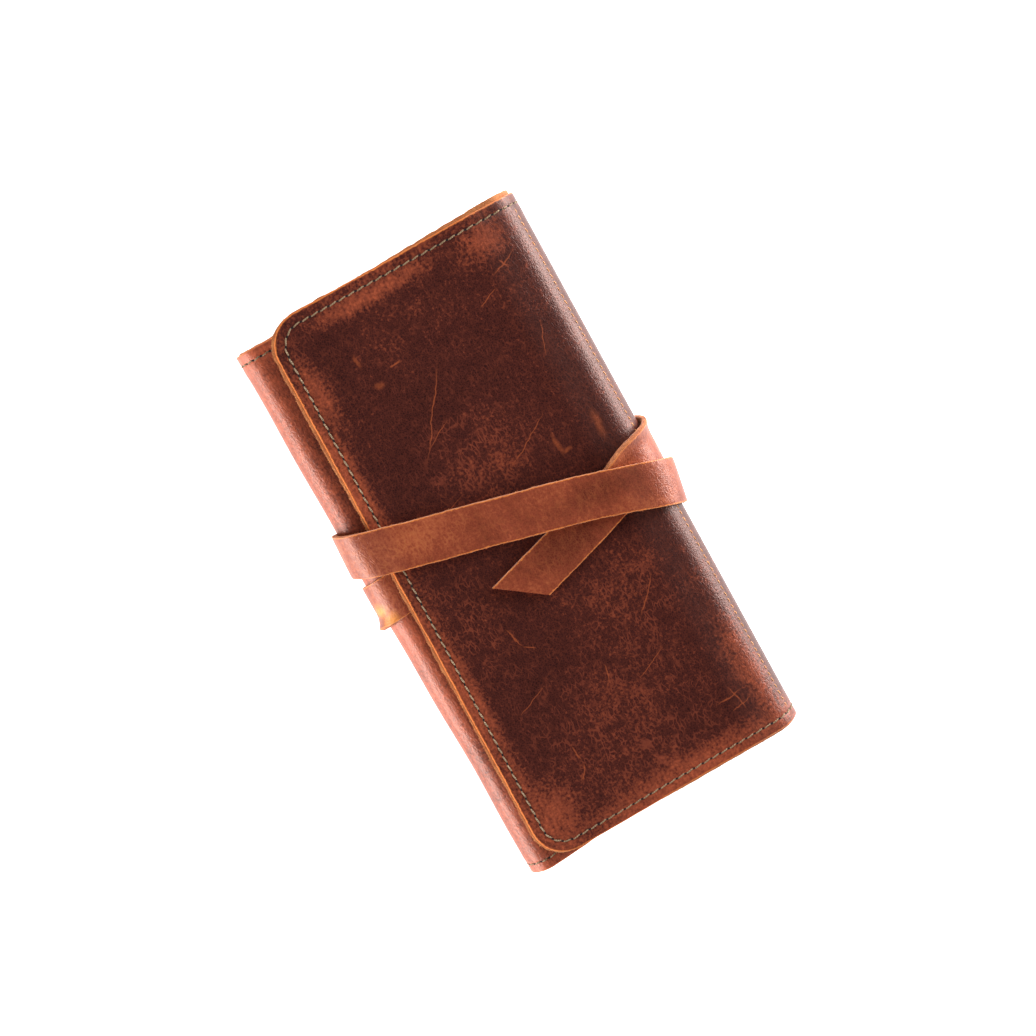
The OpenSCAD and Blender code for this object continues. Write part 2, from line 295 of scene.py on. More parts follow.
def band(name, s_from, s_to, step, materials, top, thick, grow=None, raw=(), free_start=False, shape=None):
    """A strip of leather from end to end of the case, between two places on its section."""
    count = max(2, math.ceil((s_to - s_from) / step) + 1)
    s = np.linspace(s_from, s_to, count)
    if free_start:
        s = np.concatenate([s_from + NEAR_EDGE, np.linspace(s_from + 10, s_to, count)])
    inner = math.ceil((LEAF_HIGH[1] - LEAF_LOW[1]) / 2.6)
    share = np.linspace(0, 1, inner)
    reach = NEAR_EDGE[-1] + 1.5
    low, high = foot_y(s)[:, None], end_y(s)[:, None]
    middle = low + reach + (high - low - 2 * reach) * share
    y = np.hstack([low + NEAR_EDGE, middle, high - NEAR_EDGE[::-1]])
    distance = np.minimum(y - low, high - y)
    if free_start:
        distance = np.minimum(distance, (s - s_from)[:, None])
    if grow is not None:
        fade = np.clip(1 - (y - low) / 3, 0, 1)
        y = y - fade * grow(s, "foot")[:, None]
        fade = np.clip(1 - (high - y) / 3, 0, 1)
        y = y + fade * grow(s, "end")[:, None]
    grid_s = np.broadcast_to(s[:, None], y.shape)
    wave = wave_left(grid_s, y)
    if shape is not None:
        wave = wave + shape(grid_s, y)
    faced = edge_drop(distance) if top == 0 else 0.5 * edge_drop(distance)
    outer = case.place(grid_s, y, wave + top - faced)
    inner_face = case.place(grid_s, y, wave + top - thick + (0 if top == 0 else 0.4 * edge_drop(distance)))
    points = np.concatenate([outer.reshape(-1, 3), inner_face.reshape(-1, 3)])
    flat = np.stack([grid_s, y, np.full_like(y, top)], -1).reshape(-1, 3)
    below = flat + [0, 0, -thick]
    faces, slots = close(*y.shape, raw)
    edges = np.concatenate([distance.ravel(), distance.ravel()])
    return new_object(name, points, faces, materials, slots, np.concatenate([flat, below]), edges)


def flap_course(m, grow=0.0, right=RIGHT_X, step=1.4):
    """The flap's outline drawn in by m, and grown outwards, from the spine round and back to it."""
    foot, end = FLAP_LOW[1], FLAP_HIGH[1]
    r = CORNER_R
    low_c = (EDGE_FOOT_X + r, foot + r)
    high_c = (EDGE_TOP_X + r, end - r)
    n_side = math.ceil((right - low_c[0]) / step)
    n_edge = math.ceil((end - foot - 2 * r) / step)
    turns = 16
    course = [(right + (low_c[0] - right) * i / n_side, foot + m) for i in range(n_side)]
    for i in range(turns):
        a = math.radians(270 - 90 * i / turns)
        course.append((low_c[0] + (r - m) * math.cos(a), low_c[1] + (r - m) * math.sin(a)))
    for i in range(n_edge):
        t = i / n_edge
        x = EDGE_FOOT_X + (EDGE_TOP_X - EDGE_FOOT_X) * t + m
        course.append((x, low_c[1] + (high_c[1] - low_c[1]) * t))
    for i in range(turns):
        a = math.radians(180 - 90 * i / turns)
        course.append((high_c[0] + (r - m) * math.cos(a), high_c[1] + (r - m) * math.sin(a)))
    course += [(high_c[0] + (right - high_c[0]) * i / n_side, end - m) for i in range(n_side + 1)]
    p = np.array(course)
    way = np.gradient(p, axis=0)
    way /= np.linalg.norm(way, axis=1)[:, None]
    outward = np.stack([-way[:, 1], way[:, 0]], -1)
    outward[[0, -1], 0] = 0
    return p + outward * np.broadcast_to(grow, len(p))[:, None]


FLAP_RINGS = [0, 0.3, 1, 2, 3, 3.7, 4.1, 4.4, 4.7, 5.1, 5.8, 7]


def flap_distance(x, y):
    slope = (EDGE_TOP_X - EDGE_FOOT_X) / (FLAP_HIGH[1] - FLAP_LOW[1])
    side = x - EDGE_FOOT_X - slope * (y - FLAP_LOW[1])
    return np.minimum(np.minimum(y - FLAP_LOW[1], FLAP_HIGH[1] - y), side)


def flap_plate(name, materials, top, thick, grow=None):
    """The flat of the flap: rings along its outline, and a triangulated middle."""
    base = flap_course(0)
    along = np.concatenate([[0], np.cumsum(np.linalg.norm(np.diff(base, axis=0), axis=1))])
    rings = []
    for m in FLAP_RINGS:
        growth = np.zeros(len(base)) if grow is None else grow(base, along) * max(0, 1 - m / 3)
        rings.append(flap_course(m, growth))
    k, n = len(rings), len(base)
    points = [tuple(p) for ring in rings for p in ring]
    faces = []
    for i in range(k - 1):
        for j in range(n - 1):
            a = i * n + j
            faces.append((a, a + 1, a + n + 1, a + n))
    inner = rings[-1]
    gap = 2.6
    wall_count = math.ceil((inner[-1][1] - inner[0][1]) / gap)
    wall = [(RIGHT_X, inner[-1][1] + (inner[0][1] - inner[-1][1]) * i / wall_count) for i in range(1, wall_count)]
    rim = [tuple(p) for p in inner] + wall
    cloud = []
    m = FLAP_RINGS[-1]
    for x in np.arange(RIGHT_X - gap, EDGE_FOOT_X, -gap):
        for row, y in enumerate(np.arange(FLAP_LOW[1] + m + gap, FLAP_HIGH[1] - m - 1.5, gap)):
            x_here = x + (gap / 2 if row % 2 else 0)
            low_c = Vector((EDGE_FOOT_X + CORNER_R, FLAP_LOW[1] + CORNER_R))
            high_c = Vector((EDGE_TOP_X + CORNER_R, FLAP_HIGH[1] - CORNER_R))
            here = Vector((x_here, y))
            room = flap_distance(x_here, y) - m
            for c, low in ((low_c, True), (high_c, False)):
                if x_here < c.x and ((y < c.y) if low else (y > c.y)):
                    room = min(room, CORNER_R - m - (here - c).length)
            if room > 1.2 and x_here < RIGHT_X - 1:
                cloud.append((x_here, y))
    seeds = [Vector(p) for p in rim + cloud]
    loop = [(i, (i + 1) % len(rim)) for i in range(len(rim))]
    found = geometry.delaunay_2d_cdt(seeds, loop, [], 1, 1e-5)
    first = (k - 1) * n
    remap = {}
    for i, sources in enumerate(found[3]):
        source = sources[0] if sources else None
        if source is not None and source < n:
            remap[i] = first + source
        else:
            remap[i] = len(points)
            points.append(tuple(found[0][i]))
    for face in found[2]:
        faces.append(tuple(remap[v] for v in face))
    p = np.array(points)
    total = len(p)
    distance = np.concatenate([np.full(n, m, float) for m in FLAP_RINGS] + [flap_distance(*p[k * n:].T)])
    wave = lift(p[:, 0], p[:, 1])
    drop = edge_drop(distance)
    upper = FLAP_TOP + top + wave - (drop if top == 0 else 0.5 * drop)
    lower = FLAP_TOP + top - thick + wave + (0 if top == 0 else 0.4 * drop)
    solid = np.concatenate([np.column_stack([p, upper]), np.column_stack([p, lower])])
    # The rim runs along the outline, then down the side that meets the spine.
    wall_ids = {}
    for v in range(k * n, total):
        if abs(p[v][0] - RIGHT_X) < 1e-4:
            wall_ids[v] = p[v][1]
    side = [i * n + n - 1 for i in range(1, k)]
    side += sorted(wall_ids, key=wall_ids.get, reverse=True)
    side += [i * n for i in range(k - 1, 0, -1)]
    rim_ids = list(range(n)) + side
    walls, wall_slots = [], []
    for i, a in enumerate(rim_ids):
        b = rim_ids[(i + 1) % len(rim_ids)]
        walls.append((b, a, total + a, total + b))
        wall_slots.append(2 if i < n - 1 else 0)
    back = [tuple(total + v for v in f) for f in faces]
    slots = [0] * len(faces) + [1] * len(back) + wall_slots
    flat = np.column_stack([flap_s(p[:, 0]), p[:, 1], np.full(total, float(top))])
    everything = faces + back + walls
    return new_object(name, solid, everything, materials, slots, np.concatenate([flat, flat - [0, 0, thick]]),
                      np.concatenate([distance, distance]))


# Materials

def rgb(r, g, b):
    """A colour given as it looks on screen, from 0 to 255, as Blender's linear one."""
    parts = [c / 255 for c in (r, g, b)]
    return tuple(c / 12.92 if c <= 0.04045 else ((c + 0.055) / 1.055) ** 2.4 for c in parts) + (1,)


class Shader:
    """One material, built node by node. A value may be a number, a colour or another node's output."""

    def __init__(self, name):
        self.material = bpy.data.materials.new(name)
        self.material.use_nodes = True
        self.tree = self.material.node_tree
        self.tree.nodes.clear()
        flat = self.node("ShaderNodeAttribute", {}, attribute_name="flat").outputs["Vector"]
        self.place = self.vector("SCALE", flat, scale=1 / MM)
        edge = self.node("ShaderNodeAttribute", {}, attribute_name="edge").outputs["Fac"]
        self.edge = self.math("MULTIPLY", edge, 1 / MM)

    def node(self, kind, inputs, **settings):
        made = self.tree.nodes.new(kind)
        for key, value in settings.items():
            setattr(made, key, value)
        for key, value in inputs.items():
            if isinstance(value, bpy.types.NodeSocket):
                self.tree.links.new(value, made.inputs[key])
            else:
                made.inputs[key].default_value = value
        return made

    def math(self, operation, a, b=0.0, clamp=False):
        return self.node("ShaderNodeMath", {0: a, 1: b}, operation=operation, use_clamp=clamp).outputs[0]

    def vector(self, operation, a, b=(0, 0, 0), scale=1.0):
        inputs = {0: a, 3: scale} if operation == "SCALE" else {0: a, 1: b}
        made = self.node("ShaderNodeVectorMath", inputs, operation=operation)
        return made.outputs["Value" if operation in ("LENGTH", "DOT_PRODUCT") else "Vector"]

    def mix(self, share, a, b, kind="MIX"):
        made = self.node("ShaderNodeMix", {0: share, 6: a, 7: b}, data_type="RGBA", blend_type=kind)
        return made.outputs[2]

    def step(self, value, low, high):
        """0 below low, 1 above high, smooth between; the other way round if low is the larger."""
        inputs = {"Value": value, "From Min": low, "From Max": high, "To Min": 0.0, "To Max": 1.0}
        return self.node("ShaderNodeMapRange", inputs, interpolation_type="SMOOTHSTEP").outputs[0]

    def noise(self, place, size, detail=2.0, rough=0.5):
        """Noise with features about size millimetres across."""
        inputs = {"Vector": place, "Scale": 1 / size, "Detail": detail, "Roughness": rough}
        return self.node("ShaderNodeTexNoise", inputs).outputs[0]

    def cells(self, place, size, feature="DISTANCE_TO_EDGE"):
        inputs = {"Vector": place, "Scale": 1 / size}
        return self.node("ShaderNodeTexVoronoi", inputs, feature=feature).outputs["Distance"]

    def ramp(self, share, *stops):
        made = self.node("ShaderNodeValToRGB", {0: share})
        for i, (position, colour) in enumerate(stops):
            stop = made.color_ramp.elements[i] if i < 2 else made.color_ramp.elements.new(position)
            stop.position = position
            stop.color = colour
        return made.outputs[0]

    def strokes(self, place, lines):
        """Thin scratches along lines (x0, y0, x1, y1, width), fading at both ends."""
        total = 0.0
        for x0, y0, x1, y1, width in lines:
            way = Vector((x1 - x0, y1 - y0, 0))
            offset = self.vector("SUBTRACT", place, (x0, y0, 0))
            along = self.vector("DOT_PRODUCT", offset, tuple(way / way.length_squared))
            along = self.math("ADD", along, 0.0, clamp=True)
            nearest = self.vector("SCALE", tuple(way), scale=along)
            gap = self.vector("LENGTH", self.vector("SUBTRACT", offset, nearest))
            mark = self.step(gap, 1.3 * width, width * 0.2)
            end = self.math("ABSOLUTE", self.math("SUBTRACT", along, 0.5))
            mark = self.math("MULTIPLY", mark, self.step(end, 0.52, 0.2))
            total = mark if total == 0.0 else self.math("MAXIMUM", total, mark)
        return total

    def spots(self, place, rounds):
        """Soft patches (x, y, half width, half height)."""
        total = 0.0
        for x, y, half_x, half_y in rounds:
            offset = self.vector("SUBTRACT", place, (x, y, 0))
            scaled = self.vector("MULTIPLY", offset, (1 / half_x, 1 / half_y, 0))
            mark = self.step(self.vector("LENGTH", scaled), 1.25, 0.1)
            total = mark if total == 0.0 else self.math("MAXIMUM", total, mark)
        return total

    def finish(self, colour, roughness, height, depth, **extra):
        """Height is in units of depth, which is in millimetres."""
        bump = self.node("ShaderNodeBump", {"Height": height, "Distance": depth * MM, "Strength": 1.0})
        inputs = {"Base Color": colour, "Roughness": roughness, "Normal": bump.outputs[0]}
        inputs.update({key.replace("_", " "): value for key, value in extra.items()})
        surface = self.node("ShaderNodeBsdfPrincipled", inputs)
        self.node("ShaderNodeOutputMaterial", {"Surface": surface.outputs[0]})
        return self.material


def leather(name, tones, crease_colour, worn, scratches=(), pale=(), deep=(), patches=(), bend_pale_and_lit=(), warm=(), burnish=0.16, gloss=0.36,
            crease_size=1.8, contrast=0.3, marks=0.05, rim=None, patchy=0.45, dull=()):
    """Waxed pull-up leather: clouded colour, paler creases and scuffs, and burnished edges."""
    m = Shader(name)
    shift = m.node("ShaderNodeTexNoise", {"Vector": m.place, "Scale": 1 / 7, "Detail": 3.0}).outputs[1]
    shift = m.vector("MULTIPLY", m.vector("SUBTRACT", shift, (0.5, 0.5, 0.5)), (3.5, 3.5, 0))
    drifted = m.vector("ADD", m.place, shift)
    cloud = m.noise(m.place, 42, 2, 0.5)
    mottle = m.noise(m.place, 11, 4, 0.6)
    grain = m.noise(m.place, 1.2, 3, 0.6)
    pores = m.cells(drifted, 0.55, "F1")
    edge_share = m.step(m.math("ADD", m.edge, m.math("MULTIPLY", m.math("SUBTRACT", mottle, 0.5), 14.0)), 15.0, 0.0)
    tone = m.math("MULTIPLY", m.math("SUBTRACT", cloud, 0.5), 1.5 * contrast)
    tone = m.math("ADD", tone, m.math("MULTIPLY", m.math("SUBTRACT", mottle, 0.5), 1.3 * contrast))
    tone = m.math("ADD", tone, m.math("MULTIPLY", edge_share, burnish))
    creased = 0.3
    # The spots with gain 0.42 lighten the colour: partly pull-up leather paled at a bend, partly painted highlight
    # where a lamp lights that side.
    for rounds, gain in ((pale, marks), (warm, 0.24), (bend_pale_and_lit, 0.42), (deep, -0.3)):
        if rounds:
            zone = m.spots(drifted, rounds)
            tone = m.math("ADD", tone, m.math("MULTIPLY", zone, gain))
            if rounds in (pale, warm):
                creased = m.math("ADD", m.math("MULTIPLY", zone, 0.7), creased, clamp=True)
    tone = m.math("ADD", tone, m.math("MULTIPLY", m.math("SUBTRACT", grain, 0.5), 0.8))
    streaks = m.noise(m.vector("MULTIPLY", drifted, (1.0, 0.35, 1.0)), 1.6, 2, 0.6)
    tone = m.math("ADD", tone, m.math("MULTIPLY", m.math("SUBTRACT", streaks, 0.5), 0.45))
    tone = m.math("ADD", tone, 0.4, clamp=True)
    colour = m.ramp(tone, (0.0, tones[0]), (1.0, tones[2]), (0.5, tones[1]))
    creases = m.step(m.cells(m.vector("MULTIPLY", drifted, (1.0, 0.45, 1.0)), crease_size), 0.12, 0.03)
    fine = m.step(m.cells(drifted, crease_size * 0.5), 0.2, 0.03)
    creased = m.math("MULTIPLY", m.step(m.noise(m.place, 6, 3, 0.6), 0.4, 0.62), creased)
    colour = m.mix(m.math("MULTIPLY", m.math("MULTIPLY", creases, creased), 0.62), colour, crease_colour)
    colour = m.mix(m.math("MULTIPLY", fine, 0.18), colour, crease_colour)
    height = m.math("ADD", m.math("MULTIPLY", grain, 0.8), m.math("MULTIPLY", pores, 0.5))
    height = m.math("SUBTRACT", height, m.math("MULTIPLY", creases, 0.32))
    height = m.math("SUBTRACT", height, m.math("MULTIPLY", fine, 0.22))
    roughness = m.math("ADD", m.math("MULTIPLY", grain, 0.16), gloss - 0.08)
    if rim:
        frayed = m.math("ADD", m.edge, m.math("MULTIPLY", m.math("SUBTRACT", grain, 0.5), 1.6))
        colour = m.mix(m.step(frayed, 0.7, 0.3), colour, rim)
    if patches:
        patch = m.math("MULTIPLY", m.spots(drifted, patches), m.math("ADD", grain, 0.3), clamp=True)
        colour = m.mix(m.math("MULTIPLY", patch, patchy), colour, worn)
    if scratches:
        scratch = m.strokes(drifted, scratches)
        colour = m.mix(m.math("MULTIPLY", scratch, 0.5), colour, worn)
    shine = 0.5
    for start, end in dull:
        along = m.node("ShaderNodeSeparateXYZ", {0: m.place}).outputs[0]
        away = m.math("ABSOLUTE", m.math("SUBTRACT", along, (start + end) / 2))
        half = (end - start) / 2
        level = m.math("ADD", m.math("MULTIPLY", m.step(away, half - 12, half), 0.47), 0.03)
        shine = m.math("MINIMUM", level, shine)
    return m.finish(colour, roughness, height, 0.1, IOR=1.52, Specular_IOR_Level=shine, Specular_Tint=(1.0, 0.7, 0.62, 1))


def fibrous(name, dark, pale, size=0.7, depth=0.3):
    """The flesh side or cut edge of leather: short rough fibres."""
    m = Shader(name)
    clumps = m.noise(m.place, size * 5, 3, 0.6)
    fibres = m.noise(m.vector("MULTIPLY", m.place, (1.0, 1.0, 2.0)), size, 4, 0.7)
    share = m.math("ADD", m.math("MULTIPLY", clumps, 0.7), m.math("SUBTRACT", fibres, 0.5))
    colour = m.ramp(share, (0.15, dark), (0.75, pale))
    return m.finish(colour, 0.85, fibres, depth, Sheen_Weight=0.15)


def thread(name, dark, pale):
    """Two-ply waxed thread. flat holds the distance along it and the share of a turn round it."""
    m = Shader(name)
    parts = m.node("ShaderNodeSeparateXYZ", {0: m.place}).outputs
    turn = m.math("MULTIPLY", m.math("ADD", m.math("MULTIPLY", parts[0], 1.05), parts[1]), 2 * math.pi)
    ply = m.math("ADD", m.math("MULTIPLY", m.math("SINE", turn), 0.5), 0.5)
    fuzz = m.noise(m.place, 0.4, 3, 0.7)
    share = m.math("ADD", m.math("MULTIPLY", ply, 0.6), m.math("MULTIPLY", fuzz, 0.5), clamp=True)
    # The ply stripes in the colour are painted shade and highlight: dark where the bump sinks between the plies, pale
    # on their crowns.
    return m.finish(m.ramp(share, (0.1, dark), (0.9, pale)), 0.6, share, 0.12)


# Painted shade: near-black plugs stand for the shade inside each punched stitch hole.
def hole_shade_material():
    m = Shader("stitch_hole_shade")
    shade = m.noise(m.place, 0.5, 2)
    return m.finish(m.ramp(shade, (0.2, rgb(8, 4, 3)), (0.9, rgb(22, 11, 8))), 0.9, shade, 0.05)


def on_flap(x0, y0, x1, y1, width):
    return (flap_s(x0), y0, flap_s(x1), y1, width)


FLAP_SCRATCHES = [on_flap(*line) for line in (
    (41, 101, 54, 106, 0.32), (46, 106, 49, 102, 0.3), (30, 92, 40, 97, 0.25), (-20, 47, 5, 82, 0.3),
    (-17, 52, -3, 60, 0.2), (26, -52, 40, -36, 0.28), (-25, -27, -22, -37, 0.3), (-22, -37, -17, -41, 0.3),
    (-25, -83, -24, -92, 0.35), (-24, -92, -28, -100, 0.35), (36, -100, 49, -99, 0.3), (40, -106, 52, -103, 0.25),
    (44, -95, 47, -108, 0.3), (12, -74, 30, -66, 0.22), (-38, -62, -22, -56, 0.22), (2, -70, 4, -60, 0.25),
    (-14, 89, -8, 90, 0.5), (8, 28, 34, 44, 0.22), (-36, 20, -12, 31, 0.22), (44, 62, 50, 78, 0.2))]
FLAP_PALE = [(flap_s(x), y, half_x, half_y) for x, y, half_x, half_y in (
    (2, 40, 26, 24), (-2, -88, 46, 44), (-36, -20, 16, 30), (24, -44, 26, 26), (44, 112, 14, 9))]
FLAP_WARM = [(flap_s(x), y, half_x, half_y) for x, y, half_x, half_y in (
    (25, -118, 52, 13), (-46, -106, 13, 18), (-51, -50, 6, 60), (-49, 52, 6, 44), (-43, 96, 9, 22), (47, 116, 16, 9), (56, -95, 9, 40),
    (-10, 118, 40, 5))]
FLAP_PATCHES = [(flap_s(x), y, half_x, half_y) for x, y, half_x, half_y in (
    (-20.5, 85, 2.6, 1.6), (-24, 98, 0.9, 3.4), (31, 29, 1.2, 5.5), (50, 28, 2.0, 7.5), (33, 25, 2.6, 1.0))]


def on_strap(turn, s, y, half_s, half_y):
    return (300 * turn + s, y, half_s, half_y)


STRAP_SCRATCHES = [(300 + A[4] + 20, 5, 300 + A[4] + 28, 4, 0.3), (600 + B[4] + 20, -4, 600 + B[4] + 30, -6, 0.3),
                   (300 + A[4] + 62, 12, 300 + A[4] + 66, 20, 0.25)]
STRAP_PALE = [on_strap(1, A[4] + 95, 22, 30, 12), on_strap(1, A[8] - 4, 30, 14, 14), on_strap(1, A_RIGHT, -9, 12, 12),
              on_strap(2, B_RIGHT - 4, 9, 12, 12)]
STRAP_PATCHES = [on_strap(1, A[1] + 9, 4, 4, 3.5), on_strap(1, A[1] + 6, -1, 4, 4)]
STRAP_DEEP = [on_strap(1, A[4] + 18, 4, 26, 9), on_strap(2, B[4] + 40, -9, 34, 10)]

# The spot at S_LEFT_MID, stretched along the whole left spine, is partly pull-up leather paled by the bend and partly
# painted highlight from the left lamp.
outer_leather = leather(
    "outer_leather", (rgb(30, 15, 16), rgb(59, 28, 26), rgb(182, 90, 60)), rgb(134, 66, 48), rgb(178, 90, 54),
    FLAP_SCRATCHES, FLAP_PALE, (), FLAP_PATCHES, [(S_LEFT_MID, 60, 36, 420)], FLAP_WARM,
    marks=0.09, rim=rgb(200, 112, 58), dull=[(S_FLAP + 2, S_FLAP + 300)])
strap_leather = leather(
    "strap_leather", (rgb(90, 40, 29), rgb(131, 61, 43), rgb(188, 103, 66)), rgb(172, 96, 60), rgb(232, 148, 66),
    STRAP_SCRATCHES, STRAP_PALE, STRAP_DEEP, STRAP_PATCHES, burnish=0.1, contrast=0.5, marks=0.2,
    rim=rgb(206, 118, 62), patchy=0.9,
    dull=[(300 + A[4], 300 + A[7]), (600 + B[4], 600 + B[5] + 30)])
pocket_leather = leather(
    "pocket_leather", (rgb(76, 38, 26), rgb(108, 56, 36), rgb(150, 84, 52)), rgb(150, 84, 52), rgb(150, 84, 52),
    gloss=0.5, dull=[(-500, 500)])
suede = fibrous("lining_suede", rgb(150, 82, 40), rgb(206, 138, 78))
raw_edge = fibrous("raw_edge", rgb(200, 112, 50), rgb(244, 180, 108), size=0.5)
strap_edge = fibrous("strap_edge", rgb(150, 72, 32), rgb(236, 150, 84), size=0.5)
edge_thread = thread("edge_thread", rgb(78, 56, 36), rgb(166, 136, 100))
seam_thread = thread("seam_thread", rgb(170, 92, 50), rgb(244, 178, 112))
hole_shade = hole_shade_material()


# The leather, in seven stretches

def fringe(s, side):
    """How far the lining shows past the ends of the outer leather."""
    if side == "end":
        base = np.where(s > S_RIGHT_MID, 0.4 + 1.6 * smooth((S_FLAP + 60 - s) / 60), 0.5)
        return base + ragged(s, 11, 0.45)
    base = np.where(s > S_RIGHT_MID, 0.2 + 0.8 * smooth((S_FLAP + 70 - s) / 30), 0.25)
    return base + ragged(s, 12, 0.25)


def cut(s, side):
    """How far the cut ends of the outer leather wander from straight."""
    return ragged(s / 4, 21 if side == "end" else 22, 0.35)


def flap_fringe(base, along):
    low, high = flap_s(base[:, 0]), base[:, 1]
    ends = np.where(high > 0, fringe(low, "end"), fringe(low, "foot"))
    at_edge = smooth((EDGE_TOP_X + 10 - base[:, 0]) / 10)
    free = 1.0 + ragged(along, 31, 0.6) + 0.3 * smooth((high - 20) / 60)
    return ends * (1 - at_edge) + free * at_edge


def flap_cut(base, along):
    return ragged(along / 4, 23, 0.3)


STRETCHES = (
    ("left_upper", S_LEFT, S_LEFT_MID, 0.42, "left_upper"),
    ("left_lower", S_LEFT_MID, S_BACK, 0.42, "left_lower"),
    ("back", S_BACK, S_RIGHT, 2.4, "back"),
    ("right_lower", S_RIGHT, S_RIGHT_MID, 0.5, "right_lower"),
    ("right_upper", S_RIGHT_MID, S_FLAP, 0.5, "right_upper"),
)
SHELL_NODES = {"left_upper": ["left_spine_shell"], "back": ["back_shell"], "right_upper": ["right_spine_shell"]}
LINING_NODES = {"left_upper": ["left_spine_lining"], "back": ["back_lining"], "right_upper": ["right_spine_lining"]}


def make_leather():
    ends = ("foot", "end")
    for layer, top, thick, grow, nodes, materials, slot in (
            ("shell", 0, SHELL_T, cut, SHELL_NODES, (outer_leather, suede, raw_edge), "outer_leather"),
            ("lining", -SHELL_T, LINING_T, fringe, LINING_NODES, (suede, suede, raw_edge), "lining_leather")):
        for name, s_from, s_to, step, where in STRETCHES:
            piece = band(f"{name}_{layer}_leather", s_from, s_to, step, materials, top, thick, grow, ends)
            attach(piece, where, slot, *nodes.get(name, []))
        leaf = band(f"leaf_{layer}_leather", 0, S_LEFT, 1.6, materials, top, thick, grow, (*ends, "start"), True)
        attach(leaf, "leaf", slot, f"leaf_{layer}")
        grown = flap_cut if layer == "shell" else flap_fringe
        flap = flap_plate(f"flap_{layer}_leather", materials, top, thick, grown)
        attach(flap, "flap", slot, f"flap_{layer}")


make_leather()


# Stitching

def resample(points, normals, places):
    along = np.concatenate([[0], np.cumsum(np.linalg.norm(np.diff(points, axis=0), axis=1))])
    p = np.stack([np.interp(places, along, points[:, k]) for k in range(3)], -1)
    n = np.stack([np.interp(places, along, normals[:, k]) for k in range(3)], -1)
    return p, n / np.linalg.norm(n, axis=-1, keepdims=True)


def sew(name, courses, material, where, slot, nodes=(), pitch=STITCH, radius=0.33, holes=True):
    """Rows of stitches along courses of points with normals: each is a short thread between two holes."""
    rings, sides = np.array([0, 0.1, 0.28, 0.5, 0.72, 0.9, 1]), 8
    around = np.arange(sides) / sides
    points, faces, flat = [], [], []
    hole_points, hole_faces = [], []
    for course, normals in courses:
        length = float(np.linalg.norm(np.diff(course, axis=0), axis=1).sum())
        count = max(1, round(length / pitch))
        step = length / count
        for i in range(count):
            places = step * i + 0.3 + (step - 0.6) * rings
            p, n = resample(course, normals, places)
            way = np.gradient(p, axis=0)
            way /= np.linalg.norm(way, axis=1)[:, None]
            across = np.cross(way, n)
            arch = np.sin(np.pi * rings) ** 0.6
            slant = (0.5 - rings) * 0.6
            centre = p + n * (-0.4 + 0.62 * arch)[:, None] * radius / 0.37 + across * slant[:, None]
            size = radius * (0.78 + 0.22 * arch)
            turn = 2 * math.pi * around
            ring = centre[:, None] + size[:, None, None] * (
                np.cos(turn)[None, :, None] * n[:, None] * 0.8 + np.sin(turn)[None, :, None] * across[:, None])
            first = len(points)
            points += ring.reshape(-1, 3).tolist()
            tag = np.stack(np.broadcast_arrays(places[:, None], around[None, :], 7.3 * i), -1)
            flat += tag.reshape(-1, 3).tolist()
            for k in range(len(rings) - 1):
                for j in range(sides):
                    a, b = first + k * sides + j, first + k * sides + (j + 1) % sides
                    faces.append((a, b, b + sides, a + sides))
            faces.append(tuple(range(first, first + sides)))
            last = first + (len(rings) - 1) * sides
            faces.append(tuple(range(last, last + sides)))
        # Each hole is a dark plug of painted shade, standing for the hollow of the punched hole.
        if holes:
            p, n = resample(course, normals, step * np.arange(count + 1))
            way = np.gradient(p, axis=0)
            way /= np.linalg.norm(way, axis=1)[:, None]
            across = np.cross(way, n)
            for i in range(count + 1):
                first = len(hole_points)
                for height, share in ((0.05, 0.8), (-0.3, 1.0)):
                    for j in range(sides):
                        a = 2 * math.pi * j / sides
                        spot = radius * (2.2 * math.cos(a) * way[i] + 1.7 * math.sin(a) * across[i])
                        hole_points.append(p[i] + share * spot + n[i] * height)
                hole_faces.append(tuple(range(first, first + sides)))
                hole_faces.append(tuple(range(first + sides, first + 2 * sides)))
                for j in range(sides):
                    a, b = first + j, first + (j + 1) % sides
                    hole_faces.append((a, b, b + sides, a + sides))
    made = new_object(name, points, faces, [material], flat=flat)
    attach(made, where, slot, *nodes)
    if holes:
        punched = new_object(name + "_hole_shade", hole_points, hole_faces, [hole_shade], flat=hole_points)
        attach(punched, where, slot)
    return made


def case_course(s, y, h):
    """A course on the leather, with the normals that point out of it, or into the case if h is deep."""
    s, y = np.asarray(s, float), np.asarray(y, float)
    side = 1 if h > -SHELL_T else -1
    base = case.place(s, y, h + wave_left(s, y))
    return base, side * (case.place(s, y, h + 1) - case.place(s, y, h))


def corners(points, step=1.0):
    """Points every step along straight lines between corners."""
    points = np.array(points, float)
    found = [points[:1]]
    for a, b in zip(points[:-1], points[1:]):
        count = max(1, math.ceil(np.linalg.norm(b - a) / step))
        found.append(a + (b - a) * (np.arange(count)[:, None] + 1) / count)
    return np.vstack(found)


GROOVE = -0.2
INSIDE = -DEPTH


def flap_inside(x):
    """Depth of the flap's inner face, on the slip pocket where it reaches."""
    return np.where(x > SLIP_LOW[0], -DEPTH - POCKET_T, -DEPTH)


